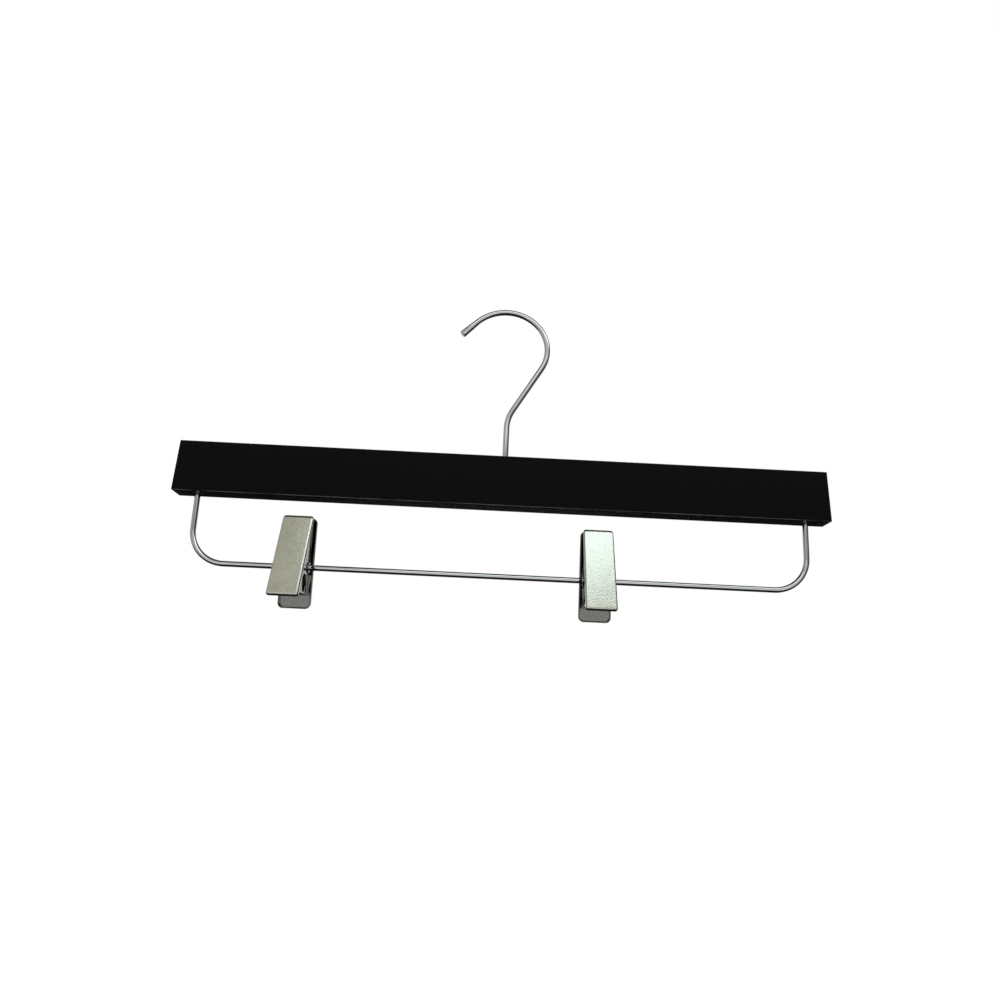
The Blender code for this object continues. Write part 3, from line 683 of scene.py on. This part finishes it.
def chromed_wire():
    """Drawn steel wire, bright chrome plated: mirror bright, with faint lines along its length."""
    material, tree, shader, place = start_material(
        "bright_chromed_steel_wire", Metallic=1.0, Roughness=0.09
    )
    # Draw lines are a few hundredths of a millimetre wide, drawn at 0.2 mm so that they show
    drawn = scaled(tree, place.outputs["UV"], (40, 5000, 1))
    lines = add_node(tree, "ShaderNodeTexNoise", {"Vector": drawn, "Scale": 1.0, "Detail": 2.0})
    cloud = {"Vector": place.outputs["Object"], "Scale": 120.0, "Detail": 3.0}
    wipe = add_node(tree, "ShaderNodeTexNoise", cloud)
    tree.links.new(
        two_tones(tree, wipe.outputs[0], "#dcdddb", "#e8e9e6"), shader.inputs["Base Color"]
    )
    tree.links.new(spread_value(tree, wipe.outputs[0], 0.03, 0.08), shader.inputs["Roughness"])
    add_bump(tree, shader, lines.outputs[0], 0.004 * MM, 0.3)
    return material


def chromed_sheet(name, tray=False):
    """Pressed steel sheet, chrome plated: bright, with a slight waviness from the press."""
    material, tree, shader, place = start_material(name, Metallic=1.0, Roughness=0.14)
    # The press leaves hollows about 5 mm apart, and handling leaves marks of about 1 mm
    wave = {"Vector": place.outputs["Object"], "Scale": 200.0, "Detail": 1.0}
    waves = add_node(tree, "ShaderNodeTexNoise", wave)
    rub = {"Vector": place.outputs["Object"], "Scale": 900.0, "Detail": 4.0}
    rubbed = add_node(tree, "ShaderNodeTexNoise", rub)
    tone = two_tones(tree, rubbed.outputs[0], "#b4b5b3", "#c6c7c5")
    if tray:
        # Painted shade: a tray's inside, which faces the front, is painted a darker grey
        normal = {0: place.outputs["Normal"]}
        _, facing, _ = add_node(tree, "ShaderNodeSeparateXYZ", normal).outputs
        painted_shade_tone = two_tones(tree, rubbed.outputs[0], "#787873", "#8e8e89")
        tone = blend_tones(tree, span(tree, facing, 0.3, -0.3), tone, painted_shade_tone)
    tree.links.new(tone, shader.inputs["Base Color"])
    tree.links.new(spread_value(tree, rubbed.outputs[0], 0.05, 0.12), shader.inputs["Roughness"])
    add_bump(tree, shader, waves.outputs[0], 0.06 * MM, 0.4)
    return material


def satin_sheet():
    """Pressed steel sheet, blasted and nickel plated: a warm satin with a fine even grain."""
    material, tree, shader, place = start_material(
        "satin_nickel_pressed_steel", Metallic=1.0, Roughness=0.26
    )
    # Blasting grit is about 0.1 mm, drawn at 0.6 mm so that it shows
    grit = {"Vector": place.outputs["Object"], "Scale": 1700.0, "Detail": 2.0}
    grains = add_node(tree, "ShaderNodeTexNoise", grit)
    # Plating clouds over a few millimetres
    cloud = {"Vector": place.outputs["Object"], "Scale": 160.0, "Detail": 2.0}
    clouds = add_node(tree, "ShaderNodeTexNoise", cloud)
    tree.links.new(
        two_tones(tree, clouds.outputs[0], "#d8d6cb", "#e2e0d6"), shader.inputs["Base Color"]
    )
    tree.links.new(spread_value(tree, clouds.outputs[0], 0.14, 0.2), shader.inputs["Roughness"])
    soft = add_bump(tree, shader, clouds.outputs[0], 0.05 * MM, 0.3)
    add_bump(tree, shader, grains.outputs[0], 0.1 * MM, 0.65, soft)
    return material


def cut_metal(name, first, second, low, high, lines):
    """Turned or drawn metal: two close tones, with lines so many steps a metre on each axis."""
    material, tree, shader, place = start_material(name, Metallic=1.0, Roughness=high)
    cuts = scaled(tree, place.outputs["Object"], lines)
    cut = add_node(tree, "ShaderNodeTexNoise", {"Vector": cuts, "Scale": 1.0, "Detail": 3.0})
    tree.links.new(two_tones(tree, cut.outputs[0], first, second), shader.inputs["Base Color"])
    tree.links.new(spread_value(tree, cut.outputs[0], low, high), shader.inputs["Roughness"])
    add_bump(tree, shader, cut.outputs[0], 0.006 * MM, 0.4)
    return material


def moulded_rubber():
    """Moulded black rubber: matt, very dark, with a dusty bloom."""
    material, tree, shader, place = start_material("moulded_black_rubber", IOR=1.52)
    # The bloom is patchy at about 0.7 mm
    bloom = {"Vector": place.outputs["Object"], "Scale": 1400.0, "Detail": 4.0}
    dust = add_node(tree, "ShaderNodeTexNoise", bloom)
    tree.links.new(
        two_tones(tree, dust.outputs[0], "#161616", "#242423"), shader.inputs["Base Color"]
    )
    tree.links.new(spread_value(tree, dust.outputs[0], 0.65, 0.85), shader.inputs["Roughness"])
    add_bump(tree, shader, dust.outputs[0], 0.02 * MM, 0.4)
    return material


LACQUERED_WOOD = lacquered_wood()
CHROMED_WIRE = chromed_wire()
CHROMED_SHEET = chromed_sheet("bright_chromed_pressed_steel")
# The rear covers' chrome has painted shade on its inside, which faces the front
SHADED_CHROMED_TRAY = chromed_sheet("bright_chromed_pressed_steel_tray_painted_shade", tray=True)
SATIN_SHEET = satin_sheet()
# Turned bright steel keeps tool rings about 0.2 mm apart along the hook's stem
PLAIN_STEEL = cut_metal("turned_bright_steel", "#8f908f", "#a9aaa8", 0.3, 0.45, (400, 400, 5000))
# Hard-drawn spring wire is a dull grey under its oil
SPRING_STEEL = cut_metal("oiled_spring_wire", "#6d6d6c", "#858583", 0.25, 0.4, (900, 900, 900))
# Turned brass keeps the same rings, in a warm yellow
BRASS = cut_metal("turned_brass", "#b08d45", "#c8a55a", 0.25, 0.4, (400, 400, 5000))
BLACK_RUBBER = moulded_rubber()

ALONG_BAR = np.array([1.0, 0.0, 0.0])
ACROSS_BAR = np.array([0.0, 1.0, 0.0])
UPWARD = np.array([0.0, 0.0, 1.0])

dress("lacquered_bar", bar_mesh(), LACQUERED_WOOD, "bar", "wooden_bar")
hook = wire_mesh(
    "bent_hook_wire", hook_path(), HOOK_WIRE / 2, ACROSS_BAR, WIRE_END_ROUND, tip=HOOK_TIP_RADIUS
)
dress("bent_hook_wire", hook, CHROMED_WIRE, "hook", "hook_wire")
bail = wire_mesh("bent_bail_wire", bail_path(), BAIL_WIRE / 2, ACROSS_BAR, WIRE_END_ROUND)
dress("bent_bail_wire", bail, CHROMED_WIRE, "bar", "clip_rail")
ring = rounded(lathe_box(COLLAR_BORE, COLLAR_RADIUS, COLLAR_END, COLLAR_TOP), COLLAR_EDGE)
collar = turned_mesh("pressed_collar", ring, (0, 0, 0), UPWARD)
dress("pressed_collar", collar, PLAIN_STEEL, "hook", "retaining_collar")
sleeve = rounded(lathe_box(BUSH_BORE, BUSH_RADIUS, BUSH_END, BUSH_TOP), TURNED_EDGE)
bush = turned_mesh("turned_bush", sleeve, (0, 0, 0), UPWARD)
dress("turned_bush", bush, BRASS, "bar", "hook_bush")


def dress_clip(side, place):
    """All the pieces of one clip."""
    tube_outline = [
        (TUBE_FLARE, TUBE_END),
        (TUBE_FLARE, TUBE_FLARE_FACE),
        (TUBE_RADIUS, TUBE_FLARE_FACE),
        (TUBE_RADIUS, -TUBE_FLARE_FACE),
        (TUBE_FLARE, -TUBE_FLARE_FACE),
        (TUBE_FLARE, -TUBE_END),
        (TUBE_BORE, -TUBE_END),
        (TUBE_BORE, TUBE_END),
    ]
    tube = rounded(tube_outline, TUBE_EDGE)
    tube = turned_mesh(f"{side}_flared_tube", tube, (place, 0, BAIL_LEVEL), ALONG_BAR)
    name = f"{side}_pivot_tube"
    dress(f"{side}_flared_tube", tube, CHROMED_SHEET, f"{side}_slider", name)

    name = f"{side}_wound_spring"
    path, half = spring_path(place)
    coil = wire_mesh(name, path, SPRING_WIRE / 2, ALONG_BAR, SPRING_END_ROUND, 16)
    spring = dress(name, coil, SPRING_STEEL, None, f"{side}_spring")
    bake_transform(spring)

    finishes = {"front": (SATIN_SHEET, "satin_sheet"), "rear": (SHADED_CHROMED_TRAY, "chromed_sheet")}
    for part, (material, slot) in finishes.items():
        body = f"{side}_{part}"
        name = f"{body}_plate"
        cover = tray_mesh(name, place, part)
        dress(name, cover, material, body, f"{body}_cover")
        name = f"{body}_channel"
        channel = lever_mesh(name, f"{body}_lever")
        lever = dress(name, channel, CHROMED_SHEET, body, f"{body}_lever")
        round_sheared_edges(lever, LEVER_EDGE)
        name = f"{body}_grip"
        face = GRIP_PLANE + FACINGS[part] * PAD_GAP / 2
        grip = pad_mesh(name, place, PAD_HEIGHTS[part], face, FACINGS[part])
        dress(name, grip, BLACK_RUBBER, body, f"{body}_pad")


for clip_side, clip_place in CLIP_PLACES.items():
    dress_clip(clip_side, clip_place)


def level_ramp(tree, height, stops):
    """Light by the sine of a direction's elevation, from stops of (sine, level, warmth)."""
    share = add_node(tree, "ShaderNodeMapRange", {"Value": height, "From Min": -1.0}).outputs[0]
    ramp = add_node(tree, "ShaderNodeValToRGB", {0: share})
    marks = ramp.color_ramp.elements
    for index, (sine, level, warmth) in enumerate(stops):
        mark = marks[index] if index < 2 else marks.new((sine + 1) / 2)
        mark.position = (sine + 1) / 2
        mark.color = (level, level, level * (1 - warmth), 1.0)
    return ramp.outputs[0]


def studio_world():
    """A white surround as the camera sees it, and a soft studio that lights the hanger.

    The room in front is bright between a dark floor and a dark ceiling, dim to the right and
    dim behind. Straight behind, the metal mirrors the same white as the camera sees.
    """
    world = bpy.data.worlds.new("studio")
    bpy.context.scene.world = world
    world.use_nodes = True
    tree = world.node_tree
    tree.nodes.clear()
    way = add_node(tree, "ShaderNodeTexCoord").outputs["Generated"]
    x, y, z = add_node(tree, "ShaderNodeSeparateXYZ", {0: way}).outputs
    ahead, astern = level_ramp(tree, z, LIGHT_AHEAD), level_ramp(tree, z, LIGHT_ASTERN)
    room = blend_tones(tree, span(tree, y, 0.25, -0.25), astern, ahead)
    room = blend_tones(tree, span(tree, x, -0.5, -0.7), room, linear(LEFT_WALL))
    room = blend_tones(tree, span(tree, x, 0.6, 0.82), room, linear(RIGHT_WALL))
    soft = add_node(tree, "ShaderNodeBackground", {"Color": room})
    white = add_node(tree, "ShaderNodeBackground", {"Color": linear(WHITE)})
    rays = add_node(tree, "ShaderNodeLightPath").outputs
    either = {0: rays["Is Glossy Ray"], 1: rays["Is Transmission Ray"]}
    mirrored = add_node(tree, "ShaderNodeMath", either, operation="MAXIMUM").outputs[0]
    behind = {0: mirrored, 1: span(tree, y, 0.96, 0.985)}
    behind = add_node(tree, "ShaderNodeMath", behind, operation="MULTIPLY").outputs[0]
    both = {0: rays["Is Camera Ray"], 1: behind}
    share = add_node(tree, "ShaderNodeMath", both, operation="MAXIMUM").outputs[0]
    seen = {0: share, 1: soft.outputs[0], 2: white.outputs[0]}
    mix = add_node(tree, "ShaderNodeMixShader", seen)
    add_node(tree, "ShaderNodeOutputWorld", {0: mix.outputs[0]})


def studio_floor():
    """A dark floor below the hanger, which the camera sees as white with a soft shadow."""
    across = np.linspace(-FLOOR_SIDE, FLOOR_SIDE, 9)
    u, v = np.meshgrid(across, np.linspace(*FLOOR_REACH, 9), indexing="ij")
    points = np.stack([u, v, np.full_like(u, FLOOR_LEVEL)], axis=-1)
    mesh = bpy.data.meshes.new("studio_floor")
    cells = quads(numbered(9, 9))
    mesh.from_pydata(points.reshape(-1, 3).tolist(), [], cells.tolist())
    floor = bpy.data.objects.new("studio_floor", mesh)
    bpy.context.scene.collection.objects.link(floor)
    material = bpy.data.materials.new("studio_floor_cloth")
    material.use_nodes = True
    tree = material.node_tree
    tree.nodes.clear()
    cloth = add_node(tree, "ShaderNodeBsdfDiffuse", {"Color": linear(FLOOR_CLOTH)})
    paper = add_node(tree, "ShaderNodeBsdfDiffuse", {"Color": linear(FLOOR_PAPER)})
    white = add_node(tree, "ShaderNodeEmission", {"Color": linear(WHITE), "Strength": 0.9})
    lit = add_node(tree, "ShaderNodeAddShader", {0: paper.outputs[0], 1: white.outputs[0]})
    seen = add_node(tree, "ShaderNodeLightPath").outputs["Is Camera Ray"]
    mix = add_node(tree, "ShaderNodeMixShader", {0: seen, 1: cloth.outputs[0], 2: lit.outputs[0]})
    add_node(tree, "ShaderNodeOutputMaterial", {0: mix.outputs[0]})
    mesh.materials.append(material)


def softbox(name, azimuth, elevation, distance, size, radiance):
    """A rectangular lamp that faces the clips from an azimuth and an elevation in degrees.

    Azimuth 0 is straight in front of the bar and 90 is to its right. A lamp's power is its
    radiance times pi times its area.
    """
    turn, rise = math.radians(azimuth), math.radians(elevation)
    way = np.array(
        [math.sin(turn) * math.cos(rise), -math.cos(turn) * math.cos(rise), math.sin(rise)]
    )
    data = bpy.data.lights.new(name, "AREA")
    data.shape = "RECTANGLE"
    data.size, data.size_y = size
    data.energy = radiance * math.pi * size[0] * size[1]
    data.color = linear(KEY_COLOUR)[:3]
    lamp = bpy.data.objects.new(name, data)
    bpy.context.scene.collection.objects.link(lamp)
    lamp.location = way * distance + (0, 0, BAIL_LEVEL)
    lamp.rotation_euler = (math.pi / 2 - rise, 0, turn)


def photo_camera():
    """The photograph's camera, from the bar's corners: low in front of the bar, looking up."""
    data = bpy.data.cameras.new("photo_camera")
    data.lens = CAMERA_LENS
    data.sensor_width = CAMERA_SENSOR
    data.clip_start = 0.01
    camera = bpy.data.objects.new("photo_camera", data)
    bpy.context.scene.collection.objects.link(camera)
    camera.location = CAMERA_PLACE
    camera.rotation_euler = [math.radians(turn) for turn in CAMERA_TURN]
    bpy.context.scene.camera = camera


studio_world()
studio_floor()
softbox("key_softbox", *KEY_SOFTBOX)
photo_camera()
bpy.context.scene.view_settings.view_transform = "Standard"
